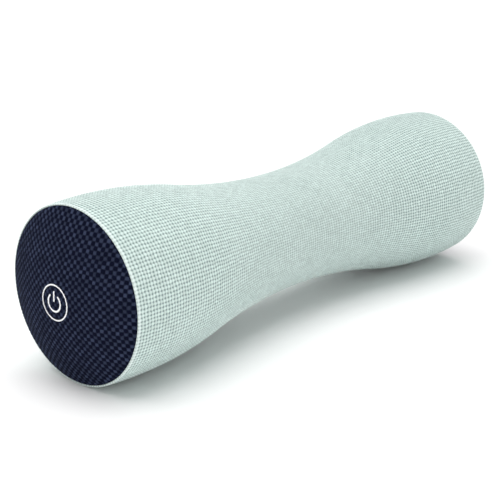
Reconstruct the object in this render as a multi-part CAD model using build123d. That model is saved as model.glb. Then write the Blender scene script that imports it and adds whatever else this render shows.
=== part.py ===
"""Cordless shiatsu neck roller, a padded bow-tie roller with two counter-rotating kneading heads inside.

X runs along the roller, with the power button's end at -X. Z is up, and the kneading heads work upwards.
The origin is at the middle of the roller, on its axis. All sizes are in millimetres.
"""

from build123d import *
import math
import os

# ---- Outer shape: turned about X, with one hollow arc at the waist and one full arc at each shoulder
waist_radius = 35.0
shoulder_radius = 50.2
shoulder_x = 137.0
shoulder_arc = 253.0
rim_x = 160.0
rim_rounding = 0.7
dome_apex_x = 173.0
dome_radius = 98.0
resting_z = -49.8
beyond = 60.0

# ---- Layers, as depths below the outer shape
cover_depth = 0.9
foam_top_depth = 0.95
foam_bottom_depth = 5.95
housing_top_depth = 6.0
housing_bottom_depth = 8.5
housing_reach = 156.0

# ---- Window in the top of the waist, through which the heads knead
window_half_length = 50.5
window_floor_z = 14.0

# ---- Gear train: one worm shaft under two worm wheels
gear_module = 1.0
wheel_teeth = 24
wheel_face = 6.0
wheel_tip_radius = 12.8
wheel_root_radius = 10.7
wheel_hub_radius = 5.0
worm_pitch_radius = 4.0
worm_tip_radius = 4.85
worm_core_radius = 2.7
worm_length = 14.0
thread_width = 1.15
flank_slope = 0.36
head_spacing = 52.0
gear_z = -1.0
worm_y = -(gear_module * wheel_teeth / 2 + worm_pitch_radius)
worm_shaft_radius = 1.5
running_gap = 0.05

# ---- Kneading heads
carrier_radius = 22.0
carrier_bottom_z = 7.2
carrier_top_z = 10.0
node_offset = 13.0
node_radius = 10.0
node_z = 20.5
node_floor_z = 11.5
peg_radius = 3.0
peg_top_z = 27.0
output_shaft_radius = 3.0

# ---- Gearbox
box_half_length = 44.0
box_front_y = -23.5
box_back_y = 16.0
box_wall = 2.0
box_floor_z = -10.5
box_floor_top_z = -8.0
box_rim_z = 4.5
box_lid_top_z = 6.5
output_bush_radius = 5.0
worm_bush_radius = 3.45

# ---- Motor
motor_radius = 12.2
motor_front_x = 64.0
motor_back_x = 96.0
motor_shaft_radius = 1.0

# ---- Battery pack of three round cells in a triangle
cell_radius = 9.25
cell_start_x = -141.0
cell_length = 65.0
pack_y = 8.2
pack_z = -10.4
holder_margin = 0.5

# ---- Caps, button and port
cap_edge_radius = 48.2
cap_skin = 0.8
cap_frame_top_depth = 0.85
cap_frame_depth = 3.35
button_radius = 8.8
button_hole_radius = 9.1
button_travel = 0.8
port_radius = 7.0
port_hole_radius = 7.1
cap_screw_circle = 37.5

# ---- Wires
wire_radius = 0.65
wire_pitch = 1.6
wire_y = 19.5
motor_wire_z = -2.4
charging_wire_z = 1.0
battery_wire_y = 3.5
battery_wire_z = 1.0

# ---- Screws: radii of the pilot hole, the clearance hole and the hole that a head goes down
pilot_radius = 1.3
clearance_radius = 1.4
head_hole_radius = 2.6
screw_head_radius = 2.5
screw_shank_radius = 1.25
screw_head_height = 2.0

shoulder_rise = shoulder_radius - waist_radius
arc_spacing = (shoulder_x**2 + shoulder_rise**2) / (2 * shoulder_rise)
waist_arc = arc_spacing - shoulder_arc
head_places = {"left": -head_spacing / 2, "right": head_spacing / 2}
cell_circle = 2 * cell_radius / math.sqrt(3)
cell_centres = [
    (pack_y + cell_circle * math.sin(a), pack_z + cell_circle * math.cos(a))
    for a in (0, 2 * math.pi / 3, 4 * math.pi / 3)
]


# ---- Basic shapes


def tube(radius, x0, x1, y=0.0, z=0.0):
    """Round bar along X."""
    return Pos((x0 + x1) / 2, y, z) * Rot(0, 90, 0) * Cylinder(radius, x1 - x0)


def post(radius, z0, z1, x=0.0, y=0.0):
    """Round bar along Z."""
    return Pos(x, y, (z0 + z1) / 2) * Cylinder(radius, z1 - z0)


def block(x0, x1, y0, y1, z0, z1):
    """Box between two corners."""
    return Pos((x0 + x1) / 2, (y0 + y1) / 2, (z0 + z1) / 2) * Box(x1 - x0, y1 - y0, z1 - z0)


def slot_bar(width, height, x0, x1):
    """Bar along X whose section is a slot, wide along Y."""
    return extrude(Plane.YZ.offset(x0) * SlotOverall(width, height), amount=x1 - x0)


def joined(first, rest):
    """One solid made of a piece and what is added to it."""
    for piece in rest:
        first = first + piece
    return first


def cut(first, rest):
    """A piece with the others taken out of it."""
    for piece in rest:
        first = first - piece
    return first


def polar(circle, degrees):
    """Y and Z of a place on a circle about the roller's axis."""
    return circle * math.cos(math.radians(degrees)), circle * math.sin(math.radians(degrees))


def screw_x(x_seat, x_tip, y, z, sizes=(screw_head_radius, screw_shank_radius, screw_head_height)):
    """Screw along X with its head away from its tip; the sizes are head, shank and head height."""
    head_radius, shank_radius, head_height = sizes
    away = math.copysign(head_height, x_seat - x_tip)
    ends = sorted((x_seat, x_seat + away))
    shank = sorted((x_seat, x_tip))
    return tube(head_radius, *ends, y, z) + tube(shank_radius, *shank, y, z)


def screw_z(x, y, z_seat, z_tip, sizes=(screw_head_radius, screw_shank_radius, screw_head_height)):
    """Screw along Z with its head away from its tip; the sizes are head, shank and head height."""
    head_radius, shank_radius, head_height = sizes
    away = math.copysign(head_height, z_seat - z_tip)
    ends = sorted((z_seat, z_seat + away))
    shank = sorted((z_seat, z_tip))
    return post(head_radius, *ends, x, y) + post(shank_radius, *shank, x, y)


# ---- Surfaces of revolution


def radius_at(x, depth):
    """Radius of the surface that lies a given depth inside the outer shape, at a place along the axis."""
    if abs(x) < shoulder_x * (waist_arc + depth) / arc_spacing:
        return waist_radius + waist_arc - math.sqrt((waist_arc + depth) ** 2 - x * x)
    past_shoulder = abs(x) - shoulder_x
    return shoulder_radius - shoulder_arc + math.sqrt((shoulder_arc - depth) ** 2 - past_shoulder**2)


def barrel(depth, reach):
    """Solid bow-tie a given depth inside the outer shape, with flat ends at -reach and reach."""
    tangent_x = shoulder_x * (waist_arc + depth) / arc_spacing
    stations = (-reach, -tangent_x, tangent_x, reach)
    arcs = [
        ThreePointArc(*[(x, radius_at(x, depth)) for x in (a, (a + b) / 2, b)])
        for a, b in zip(stations, stations[1:])
    ]
    end_radius = radius_at(reach, depth)
    ends = [
        Line((-reach, 0), (-reach, end_radius)),
        Line((reach, end_radius), (reach, 0)),
        Line((reach, 0), (-reach, 0)),
    ]
    return revolve(make_face(arcs + ends), axis=Axis.X)


def dome_x(radius, depth):
    """Where the domed end lies along X at a distance from the axis, at a depth below its skin."""
    return dome_apex_x - dome_radius + math.sqrt((dome_radius - depth) ** 2 - radius**2)


def dome_arc(depth, inner, outer):
    """Line of the domed end, in the half plane that is turned about X."""
    return ThreePointArc(*[(dome_x(r, depth), r) for r in (inner, (inner + outer) / 2, outer)])


def dome_shell(top, bottom, inner, outer):
    """Domed ring between two depths below the end's skin and two distances from the axis."""
    front = dome_arc(top, inner, outer)
    back = dome_arc(bottom, inner, outer)
    sides = [Line(front @ 1, back @ 1), Line(back @ 0, front @ 0)]
    return revolve(make_face([front, back] + sides), axis=Axis.X)


def dome_plug(depth, radius, x0):
    """Round plug with a flat back at x0 and a front that follows the domed end."""
    front = dome_arc(depth, 0, radius)
    sides = [
        Line(front @ 1, (x0, radius)),
        Line((x0, radius), (x0, 0)),
        Line((x0, 0), front @ 0),
    ]
    return revolve(make_face([front] + sides), axis=Axis.X)


def at_near_end(piece):
    """The same piece at the power button's end."""
    return Rot(0, 0, 180) * piece


# ---- Soft layers and housing


def fabric_cover():
    """Woven tube over the whole length, rounded at each rim and pressed flat where the shoulders rest."""
    skin = barrel(0, rim_x)
    rims = skin.edges().filter_by(GeomType.CIRCLE).sort_by(Axis.X)
    skin = fillet([rims[0], rims[-1]], rim_rounding)
    skin = skin - block(-rim_x, rim_x, -beyond, beyond, -beyond, resting_z)
    return skin - barrel(cover_depth, rim_x + 1)


def window():
    """Space above the waist that the kneading heads reach through."""
    return block(-window_half_length, window_half_length, -beyond, beyond, window_floor_z, beyond)


def foam_sleeve():
    """Foam pad between cover and housing."""
    return barrel(foam_top_depth, housing_reach) - barrel(foam_bottom_depth, rim_x) - window()


inner_closing_x = 56.0
inner_closing_y = 25.3
outer_closing_x = 100.0
outer_closing_y = 33.0
closing_corners = ((inner_closing_x, inner_closing_y), (outer_closing_x, outer_closing_y))
closing_screw_places = [
    (side * x, hand * y) for x, y in closing_corners for side in (-1, 1) for hand in (-1, 1)
]
closing_boss_radius = {inner_closing_x: 3.6, outer_closing_x: 4.0}
closing_seat_z = -9.0
closing_tip_z = 7.0
cap_boss_start_x = 136.0
cap_boss_end_x = 149.9
cap_boss_radius = 4.6
cap_screw_angles = (45, 135, 225, 315)


def cap_bosses(angles):
    """Bosses at both ends that take the cap screws, and the holes in them."""
    bosses, holes = [], []
    for degrees in angles:
        y, z = polar(cap_screw_circle, degrees)
        for side in (-1, 1):
            ends = sorted((side * cap_boss_start_x, side * cap_boss_end_x))
            bosses.append(tube(cap_boss_radius, *ends, y, z))
            holes.append(tube(pilot_radius, *ends, y, z))
    return bosses, holes


def housing_half(low_z, high_z, openings, bosses, holes):
    """Half of the rigid tube, with what stands on its inside."""
    room = barrel(housing_top_depth, housing_reach)
    half = block(-rim_x, rim_x, -beyond, beyond, low_z, high_z)
    wall = (room - barrel(housing_bottom_depth, rim_x)) & half
    inside = room & half
    wall = joined(cut(wall, openings), [boss & inside for boss in bosses])
    return cut(wall, holes)


def upper_housing():
    """Top half, open over the kneading heads."""
    bosses, holes = cap_bosses(cap_screw_angles[:2])
    for x, y in closing_screw_places:
        bosses.append(post(closing_boss_radius[abs(x)], 0, beyond, x, y))
        holes.append(post(pilot_radius, 0, closing_tip_z + 1, x, y))
    return housing_half(0, beyond, [window()], bosses, holes)


gearbox_foot_x = 48.0
gearbox_foot_y = 8.0
gearbox_foot_places = [
    (side * gearbox_foot_x, hand * gearbox_foot_y) for side in (-1, 1) for hand in (-1, 1)
]
bracket_foot_x = 57.5
bracket_foot_places = [(bracket_foot_x, -18.2), (bracket_foot_x, -11.2)]
bracket_floor_z = -16.5
bracket_foot_top_z = -14.5
holder_screw_places = [(-84.0, pack_y), (-134.0, pack_y)]
holder_rail_z = -27.4
holder_rail_top_z = -25.2
foot_boss_radius = 3.2
foot_screw_length = 9.0
cradle_start_x = 86.0
cradle_end_x = 89.0
cradle_front_y = -28.0
cradle_back_y = -4.0
cradle_top_z = -5.0


def lower_housing():
    """Bottom half, with the bosses that everything inside is screwed to and a cradle for the motor."""
    bosses, holes = cap_bosses(cap_screw_angles[2:])
    for x, y in closing_screw_places:
        bosses.append(post(closing_boss_radius[abs(x)], -beyond, 0, x, y))
        holes.append(post(clearance_radius, -beyond, 0, x, y))
        holes.append(post(head_hole_radius, -beyond, closing_seat_z, x, y))
    feet = [(gearbox_foot_places, box_floor_z), (bracket_foot_places, bracket_floor_z)]
    feet.append((holder_screw_places, holder_rail_z))
    for places, top in feet:
        for x, y in places:
            bosses.append(post(foot_boss_radius, -beyond, top, x, y))
            holes.append(post(pilot_radius, top - foot_screw_length, top, x, y))
    cradle = block(cradle_start_x, cradle_end_x, cradle_front_y, cradle_back_y, -beyond, cradle_top_z)
    cradle = cradle - tube(motor_radius + 0.1, cradle_start_x - 1, cradle_end_x + 1, worm_y, gear_z)
    return housing_half(-beyond, 0, [], bosses + [cradle], holes)


def closing_screws():
    """Screws that close the two halves, driven from below."""
    return [screw_z(x, y, closing_seat_z, closing_tip_z) for x, y in closing_screw_places]


def mount_screws():
    """Screws that hold the gearbox, the motor's bracket and the battery holder to the lower half."""
    seats = [(gearbox_foot_places, box_floor_top_z), (bracket_foot_places, bracket_foot_top_z)]
    seats.append((holder_screw_places, holder_rail_top_z))
    return [screw_z(x, y, seat, seat - foot_screw_length) for places, seat in seats for x, y in places]


# ---- Caps

board_x = 157.0
board_thickness = 1.6
board_radius = 25.0
board_screw_circle = 20.0
board_screw_angles = (90, 210, 330)
board_hole_radius = 1.5
connector_depth = 4.0
charging_board_x = 160.0
charging_board_half_width = 14.5
charging_board_half_height = 8.0
charging_hole_radius = 1.2
charging_screw_y = 11.8
cap_screw_seat_x = 158.0
cap_screw_tip_x = 142.0
cap_start_x = cap_boss_end_x + 0.1
skirt_radius = 40.4
skirt_wall = 2.0
cap_post_radius = 3.2


def cap_frame(hole_radius, posts, post_holes):
    """Domed end plate with a skirt that plugs into the housing and four screw tubes."""
    inside = dome_plug(cap_frame_top_depth + 0.5, cap_edge_radius, cap_start_x)
    skirt = tube(skirt_radius, cap_start_x, dome_apex_x)
    skirt = skirt - tube(skirt_radius - skirt_wall, cap_boss_end_x, dome_apex_x)
    added, holes = [skirt & inside], []
    for degrees in cap_screw_angles:
        y, z = polar(cap_screw_circle, degrees)
        added.append(tube(cap_post_radius, cap_start_x, dome_apex_x, y, z) & inside)
        holes.append(tube(clearance_radius, cap_boss_end_x, cap_screw_seat_x, y, z))
        holes.append(tube(head_hole_radius, cap_screw_seat_x, dome_apex_x, y, z))
    added += [stand & inside for stand in posts]
    frame = dome_shell(cap_frame_top_depth, cap_frame_depth, hole_radius, cap_edge_radius)
    return cut(joined(frame, added), holes + post_holes)


guide_start_x = 163.5
guide_radius = 13.2
guide_bore_radius = 11.7
board_post_radius = 2.6
board_pilot_radius = 1.25
board_pilot_end_x = 164.5


def near_cap_frame():
    """End plate that carries the power button and the control board."""
    guide = tube(guide_radius, guide_start_x, dome_apex_x)
    guide = guide - tube(guide_bore_radius, guide_start_x - 0.5, dome_apex_x)
    guide = guide & dome_plug(cap_frame_top_depth + 0.5, guide_radius + 1, guide_start_x)
    posts, holes = [guide], []
    for degrees in board_screw_angles:
        y, z = polar(board_screw_circle, degrees)
        posts.append(tube(board_post_radius, board_x + board_thickness, dome_apex_x, y, z))
        holes.append(tube(board_pilot_radius, board_x + board_thickness, board_pilot_end_x, y, z))
    return at_near_end(cap_frame(button_hole_radius, posts, holes))


charging_post_radius = 2.2
charging_pilot_radius = 1.05
charging_pilot_end_x = 166.5
charging_sides = (-charging_screw_y, charging_screw_y)


def far_cap_frame():
    """End plate that carries the charging socket."""
    top = charging_board_x + board_thickness
    posts = [tube(charging_post_radius, top, dome_apex_x, y, 0) for y in charging_sides]
    holes = [tube(charging_pilot_radius, top, charging_pilot_end_x, y, 0) for y in charging_sides]
    return cap_frame(port_hole_radius, posts, holes)


def cap_fabric(hole_radius):
    """Woven cloth stretched over an end plate."""
    return dome_shell(0, cap_skin, hole_radius, cap_edge_radius)


def cap_screws():
    """Screws through both end plates into the housing, hidden under the cloth."""
    screws = []
    for degrees in cap_screw_angles:
        y, z = polar(cap_screw_circle, degrees)
        screws.append(screw_x(cap_screw_seat_x, cap_screw_tip_x, y, z))
        screws.append(screw_x(-cap_screw_seat_x, -cap_screw_tip_x, y, z))
    return screws


# ---- Power button and control board

button_flange_x = 166.8
button_flange_radius = 11.2
button_flange_thickness = 1.7
stem_radius = 2.2
plunger_radius = 1.75
switch_half_width = 3.0
switch_top_x = board_x + board_thickness + 3.4
plunger_top_x = switch_top_x + button_travel + 0.2


def power_button():
    """Button that slides in the near end plate, with a flange to keep it in and a stem to the switch."""
    head = dome_plug(cap_frame_top_depth, button_radius, button_flange_x)
    flange = tube(button_flange_radius, button_flange_x, button_flange_x + button_flange_thickness)
    stem = tube(stem_radius, plunger_top_x, button_flange_x)
    return at_near_end(head + flange + stem)


def button_fabric():
    """Disc of the same cloth on the button's face."""
    under = dome_plug(cap_skin, button_radius + 1, button_flange_x)
    return at_near_end(dome_plug(0, button_radius, button_flange_x + 1) - under)


def switch_plunger():
    """Plunger of the push switch."""
    return at_near_end(tube(plunger_radius, board_x + board_thickness + 1.1, plunger_top_x))


def tact_switch():
    """Push switch under the button's stem."""
    foot = board_x + board_thickness
    wide = (-switch_half_width, switch_half_width)
    body = block(foot, switch_top_x, *wide, *wide)
    return at_near_end(body - tube(plunger_radius + running_gap, foot + 0.2, switch_top_x + 1))


def control_board():
    """Round circuit board behind the button."""
    board = tube(board_radius, board_x, board_x + board_thickness)
    places = [polar(board_screw_circle, degrees) for degrees in board_screw_angles]
    holes = [tube(board_hole_radius, board_x - 1, board_x + 3, y, z) for y, z in places]
    return at_near_end(cut(board, holes))


def chip(height, y, z, width, tall):
    """Part on the board's front, centred at a place on it."""
    front = board_x + board_thickness
    return block(front, front + height, y - width / 2, y + width / 2, z - tall / 2, z + tall / 2)


def connector(y, z, width, tall):
    """Wire connector on the board's back."""
    back = board_x - connector_depth
    return block(back, board_x, y - width / 2, y + width / 2, z - tall / 2, z + tall / 2)


def board_components():
    """Chips on the board's front, and the connectors and capacitor on its back."""
    controller = chip(1.0, 10.5, 0, 7, 7)
    inductor = chip(2.6, -12, -1, 6, 6)
    driver = chip(0.8, -1.5, 11.5, 5, 5)
    battery_connector = connector(-battery_wire_y, battery_wire_z, 7, 6)
    motor_connector = connector(-19, -0.7, 6, 7)
    capacitor = tube(2.5, board_x - 6, board_x, 8, 8)
    pieces = [controller, inductor, driver, battery_connector, motor_connector, capacitor]
    return [at_near_end(piece) for piece in pieces]


def board_screws():
    """Screws that hold the control board and the charging board."""
    screws = []
    for degrees in board_screw_angles:
        y, z = polar(board_screw_circle, degrees)
        screws.append(at_near_end(screw_x(board_x, board_pilot_end_x - 0.5, y, z, (2.3, 1.2, 1.5))))
    for y in charging_sides:
        screws.append(screw_x(charging_board_x, charging_pilot_end_x - 0.5, y, 0, (2.0, 1.0, 1.4)))
    return screws


# ---- Charging port

socket_width = 8.94
socket_height = 3.26
socket_front_x = 171.6
socket_wall = 0.3
bezel_x = 167.0
bezel_flange_radius = 9.4
bezel_flange_thickness = 1.7
contact_half_width = 3.35
contact_half_height = 0.35
socket_base_length = 2.4


def port_bezel():
    """Plastic surround of the charging socket, flush with the far end's cloth."""
    flange = tube(bezel_flange_radius, bezel_x, bezel_x + bezel_flange_thickness)
    plug = dome_plug(0.1, port_radius, bezel_x) + flange
    return plug - slot_bar(socket_width + 0.2, socket_height + 0.2, bezel_x - 1, dome_apex_x + 1)


def charging_socket():
    """Steel shell of the charging socket."""
    back = charging_board_x + board_thickness
    width = socket_width - 2 * socket_wall
    height = socket_height - 2 * socket_wall
    inner = slot_bar(width, height, back - 1, socket_front_x + 1)
    return slot_bar(socket_width, socket_height, back, socket_front_x) - inner


def socket_tongue():
    """Insulating base and contact tongue inside the socket."""
    back = charging_board_x + board_thickness
    width = socket_width - 2 * socket_wall - 0.1
    height = socket_height - 2 * socket_wall - 0.1
    base = slot_bar(width, height, back, back + socket_base_length)
    wide = (-contact_half_width, contact_half_width)
    high = (-contact_half_height, contact_half_height)
    return base + block(back + 2, socket_front_x - 1, *wide, *high)


def charging_board():
    """Small circuit board behind the socket."""
    front = charging_board_x + board_thickness
    wide = (-charging_board_half_width, charging_board_half_width)
    high = (-charging_board_half_height, charging_board_half_height)
    board = block(charging_board_x, front, *wide, *high)
    holes = [tube(charging_hole_radius, charging_board_x - 1, front + 1, y, 0) for y in charging_sides]
    return cut(board, holes)


# ---- Battery pack

cell_end_x = cell_start_x + cell_length
holder_plate = 2.0
holder_foot_half_width = 5.0
holder_rail_half_width = 4.5
tab_thickness = 0.3
tab_width = 4.0
tab_gap = 0.4


def battery_cells():
    """Three round cells side by side."""
    return [tube(cell_radius, cell_start_x, cell_end_x, y, z) for y, z in cell_centres]


def battery_holder():
    """End plates joined by a rail that is screwed to the lower half."""
    outer = (cell_start_x - tab_gap - holder_plate, cell_end_x + tab_gap)
    pieces = []
    for x in outer:
        discs = [tube(cell_radius + holder_margin, x, x + holder_plate, y, z) for y, z in cell_centres]
        foot = (pack_y - holder_foot_half_width, pack_y + holder_foot_half_width)
        discs.append(block(x, x + holder_plate, *foot, holder_rail_z, pack_z))
        pieces += discs
    wide = (pack_y - holder_rail_half_width, pack_y + holder_rail_half_width)
    rail = block(outer[0], outer[1] + holder_plate, *wide, holder_rail_z, holder_rail_top_z)
    holes = [post(clearance_radius, -beyond, 0, x, y) for x, y in holder_screw_places]
    return cut(joined(rail, pieces), holes)


def battery_tabs():
    """Metal strips welded across the cells' ends."""
    tabs = []
    ends = ((cell_start_x - tab_thickness - 0.05, 1, 2), (cell_end_x + 0.05, 0, 2))
    for x, first, second in ends:
        (y0, z0), (y1, z1) = cell_centres[first], cell_centres[second]
        tilt = math.degrees(math.atan2(z1 - z0, y1 - y0))
        centre = Pos(x + tab_thickness / 2, (y0 + y1) / 2, (z0 + z1) / 2)
        tabs.append(centre * Rot(tilt, 0, 0) * Box(tab_thickness, 2 * cell_radius + tab_width, tab_width))
    return tabs


# ---- Gears


def wheel_tooth():
    """Section of one tooth, pointing along X."""
    pitch_radius = gear_module * wheel_teeth / 2
    outline = []
    for radius in (wheel_root_radius - 0.4, wheel_tip_radius):
        outline.append((radius, thread_width / 2 + (pitch_radius - radius) * flank_slope))
    outline += [(x, -y) for x, y in reversed(outline)]
    return make_face(Polyline(*outline, close=True))


def worm_wheel(side):
    """Worm wheel whose slanted teeth match its worm, with a gap between two teeth at the worm."""
    hand = -1 if side == "right" else 1
    lead_slope = gear_module / (2 * worm_pitch_radius)
    twist = hand * math.degrees(wheel_face * lead_slope / (gear_module * wheel_teeth / 2))
    section = Circle(wheel_root_radius)
    for n in range(wheel_teeth):
        section = section + Rot(0, 0, -90 + (n + 0.5) * 360 / wheel_teeth - twist / 2) * wheel_tooth()
    body = Solid.extrude_linear_with_rotation(section.face(), (0, 0, 0), (0, 0, wheel_face), twist)
    body = Pos(0, 0, gear_z - wheel_face / 2) * body
    hub = post(wheel_hub_radius, box_floor_top_z + 0.7, box_rim_z - 0.4)
    return Pos(head_places[side], 0, 0) * (body + hub - post(output_shaft_radius, -20, 20))


def worm(side):
    """Single-start worm on the shaft, right-handed at the left head and left-handed at the right head."""
    lead = math.pi * gear_module
    height = worm_length - lead
    path = Helix(lead, height, worm_core_radius, lefthand=side == "right")
    tall = worm_tip_radius - worm_core_radius
    sink = 0.4
    widths = [
        (rise, thread_width / 2 + (worm_pitch_radius - worm_core_radius - rise) * flank_slope)
        for rise in (-sink, tall)
    ]
    outline = widths + [(x, -y) for x, y in reversed(widths)]
    start = Plane(origin=path @ 0, x_dir=(1, 0, 0), z_dir=path % 0)
    thread = sweep(start * make_face(Polyline(*outline, close=True)), path=path, is_frenet=True)
    core = post(worm_core_radius, -lead / 2, height + lead / 2)
    whole = thread + core - post(worm_shaft_radius, -20, 40)
    turns = height / 2 / lead
    spin = (360 * turns) % 360 * (1 if side == "right" else -1)
    centred = Rot(0, 0, spin) * Pos(0, 0, -height / 2) * whole
    along_x = Plane(origin=(head_places[side], worm_y, gear_z), x_dir=(0, 1, 0), z_dir=(1, 0, 0))
    return along_x * centred


# ---- Gearbox

lid_screw_x = 40.3
lid_screw_front_y = -6.5
lid_screw_back_y = 11.0
lid_screw_places = [(0.0, lid_screw_back_y)]
for y in (lid_screw_front_y, lid_screw_back_y):
    lid_screw_places += [(-lid_screw_x, y), (lid_screw_x, y)]
lid_boss_radius = 2.2
gearbox_foot_reach = 51.5
gearbox_foot_half_width = 11.5
worm_bush_x = (-43.0, 0.0, 43.0)
worm_bush_length = 3.0


def gearbox_base():
    """Open tray that holds the worm shaft and both wheels."""
    outer = block(-box_half_length, box_half_length, box_front_y, box_back_y, box_floor_z, box_rim_z)
    inner = block(
        -box_half_length + box_wall,
        box_half_length - box_wall,
        box_front_y + box_wall,
        box_back_y - box_wall,
        box_floor_top_z,
        box_rim_z,
    )
    web = block(-1, 1, box_front_y + 1, box_back_y - 1, box_floor_z, box_rim_z)
    wide = (-gearbox_foot_half_width, gearbox_foot_half_width)
    feet = block(-gearbox_foot_reach, gearbox_foot_reach, *wide, box_floor_z, box_floor_top_z)
    bosses = [post(lid_boss_radius, box_floor_z, box_rim_z, x, y) for x, y in lid_screw_places]
    holes = [post(1.1, box_rim_z - 8, box_rim_z, x, y) for x, y in lid_screw_places]
    holes += [post(clearance_radius, box_floor_z, 0, x, y) for x, y in gearbox_foot_places]
    holes += [post(output_bush_radius + running_gap, box_floor_z, 0, x, 0) for x in head_places.values()]
    for x in worm_bush_x:
        holes.append(tube(worm_bush_radius + running_gap, x - 2, x + 2, worm_y, gear_z))
    return cut(joined(outer - inner, [web, feet] + bosses), holes)


def gearbox_cover():
    """Flat lid of the gearbox."""
    lid = block(-box_half_length, box_half_length, box_front_y, box_back_y, box_rim_z, box_lid_top_z)
    holes = [post(1.2, 0, 10, x, y) for x, y in lid_screw_places]
    holes += [post(output_bush_radius + running_gap, 0, 10, x, 0) for x in head_places.values()]
    return cut(lid, holes)


def gearbox_screws():
    """Screws of the gearbox lid, sunk level so that the carriers pass over them."""
    sizes = (1.9, 1.0, 0.5)
    return [screw_z(x, y, box_lid_top_z, box_rim_z - 7, sizes) for x, y in lid_screw_places]


def output_bushes():
    """Plain bearings of the two output shafts, one in the floor and one in the lid for each."""
    bushes = []
    for x in head_places.values():
        for z0, z1 in ((box_floor_z, box_floor_top_z + 0.5), (box_rim_z - 0.2, box_lid_top_z + 0.2)):
            ring = post(output_bush_radius, z0, z1, x)
            bushes.append(ring - post(output_shaft_radius + running_gap, z0 - 1, z1 + 1, x))
    return bushes


def worm_bushes():
    """Plain bearings of the worm shaft."""
    half = worm_bush_length / 2
    bushes = []
    for x in worm_bush_x:
        ring = tube(worm_bush_radius, x - half, x + half, worm_y, gear_z)
        bore = tube(worm_shaft_radius + running_gap, x - 3, x + 3, worm_y, gear_z)
        bushes.append(ring - bore)
    return bushes


# ---- Motor and worm shaft

coupling_start_x = 46.5
coupling_end_x = 58.0
shaft_joint_x = 52.0
magnet_start_x = 69.0
magnet_end_x = 90.0
can_back_x = 92.0
can_wall = 0.9
magnet_radius = 11.25
magnet_bore_radius = 9.0
coupling_radius = 4.2
bell_spigot_radius = 11.2
front_boss_radius = 3.0
rear_boss_radius = 4.0
core_radius = 8.0
winding_radius = 6.2
bracket_radius = 12.4
bracket_start_x = 53.2
bracket_front_y = -21.2
bracket_back_y = -8.2
motor_screw_sides = (worm_y - 7.5, worm_y + 7.5)


def on_motor_axis(radius, x0, x1):
    """Round bar on the axis that the motor and the worm shaft share."""
    return tube(radius, x0, x1, worm_y, gear_z)


def worm_shaft():
    """Steel shaft that carries both worms."""
    return on_motor_axis(worm_shaft_radius, -45.5, shaft_joint_x)


def shaft_coupling():
    """Sleeve that joins the motor's shaft to the worm shaft."""
    sleeve = on_motor_axis(coupling_radius, coupling_start_x, coupling_end_x)
    sleeve = sleeve - on_motor_axis(worm_shaft_radius, coupling_start_x - 1, shaft_joint_x + 0.5)
    return sleeve - on_motor_axis(motor_shaft_radius, shaft_joint_x, coupling_end_x + 1)


def motor_can():
    """Drawn steel can of the motor, with a bearing boss on its front."""
    can = on_motor_axis(motor_radius, motor_front_x, can_back_x)
    can = can - on_motor_axis(motor_radius - can_wall, motor_front_x + 1, can_back_x + 1)
    can = can + on_motor_axis(front_boss_radius, motor_front_x - 1.8, motor_front_x + 2)
    holes = [tube(1.0, motor_front_x - 1, motor_front_x + 2, y, gear_z) for y in motor_screw_sides]
    holes.append(on_motor_axis(motor_shaft_radius + running_gap, motor_front_x - 4, motor_front_x + 6))
    return cut(can, holes)


def motor_magnets():
    """Two arc magnets inside the can."""
    ring = on_motor_axis(magnet_radius, magnet_start_x, magnet_end_x)
    ring = ring - on_motor_axis(magnet_bore_radius, magnet_start_x - 1, magnet_end_x + 1)
    gap = block(motor_front_x, can_back_x, worm_y - 3, worm_y + 3, -beyond, beyond)
    return (ring - gap).solids()


def motor_end_bell():
    """Plastic end of the motor, with the rear bearing and the two terminals."""
    bell = on_motor_axis(bell_spigot_radius, can_back_x - 1.5, can_back_x)
    bell = bell + on_motor_axis(motor_radius, can_back_x, motor_back_x - 1)
    bell = bell + on_motor_axis(rear_boss_radius, motor_back_x - 2, motor_back_x)
    return bell - on_motor_axis(motor_shaft_radius + running_gap, magnet_end_x, motor_back_x - 0.5)


def motor_armature():
    """Turning part of the motor: three-pole core with its windings, commutator and shaft."""
    core = on_motor_axis(core_radius, magnet_start_x + 1, magnet_end_x - 3)
    slots = []
    for n in range(3):
        turn = Pos(0, worm_y, gear_z) * Rot(120 * n, 0, 0)
        slots.append(turn * block(motor_front_x, motor_back_x, -1, 1, core_radius / 2, core_radius + 2))
    core = cut(core, slots)
    windings = on_motor_axis(winding_radius, magnet_start_x - 1, magnet_end_x - 1)
    shaft = on_motor_axis(motor_shaft_radius, shaft_joint_x + 0.6, motor_back_x - 1)
    return core + windings + shaft


def motor_bracket():
    """Angle plate that the motor is screwed to, with a foot on the lower half."""
    back = motor_front_x - 2
    plate = on_motor_axis(bracket_radius, back, motor_front_x)
    web = block(back, motor_front_x, bracket_front_y, bracket_back_y, bracket_floor_z, gear_z)
    foot = block(
        bracket_start_x,
        motor_front_x,
        bracket_front_y,
        bracket_back_y,
        bracket_floor_z,
        bracket_foot_top_z,
    )
    holes = [post(clearance_radius, -beyond, bracket_foot_top_z + 1, x, y) for x, y in bracket_foot_places]
    holes += [tube(1.0, back - 1, motor_front_x + 1, y, gear_z) for y in motor_screw_sides]
    holes.append(on_motor_axis(front_boss_radius + running_gap, back - 1, motor_front_x + 1))
    return cut(plate + web + foot, holes)


def motor_screws():
    """Screws from the bracket into the motor's front."""
    seat = motor_front_x - 2
    return [screw_x(seat, seat + 4, y, gear_z, (1.8, 0.95, 1.3)) for y in motor_screw_sides]


# ---- Kneading heads: the shaft's top, and radii of the carrier's hub and of the pegs

shaft_top_z = 12.0
carrier_hub_radius = 5.5
peg_shoulder_radius = 4.0
peg_end_radius = 1.8
carrier_screw_radius = 3.8
carrier_screw_top_z = 13.8
washer_radius = 4.2
washer_room_radius = 4.6


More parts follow.
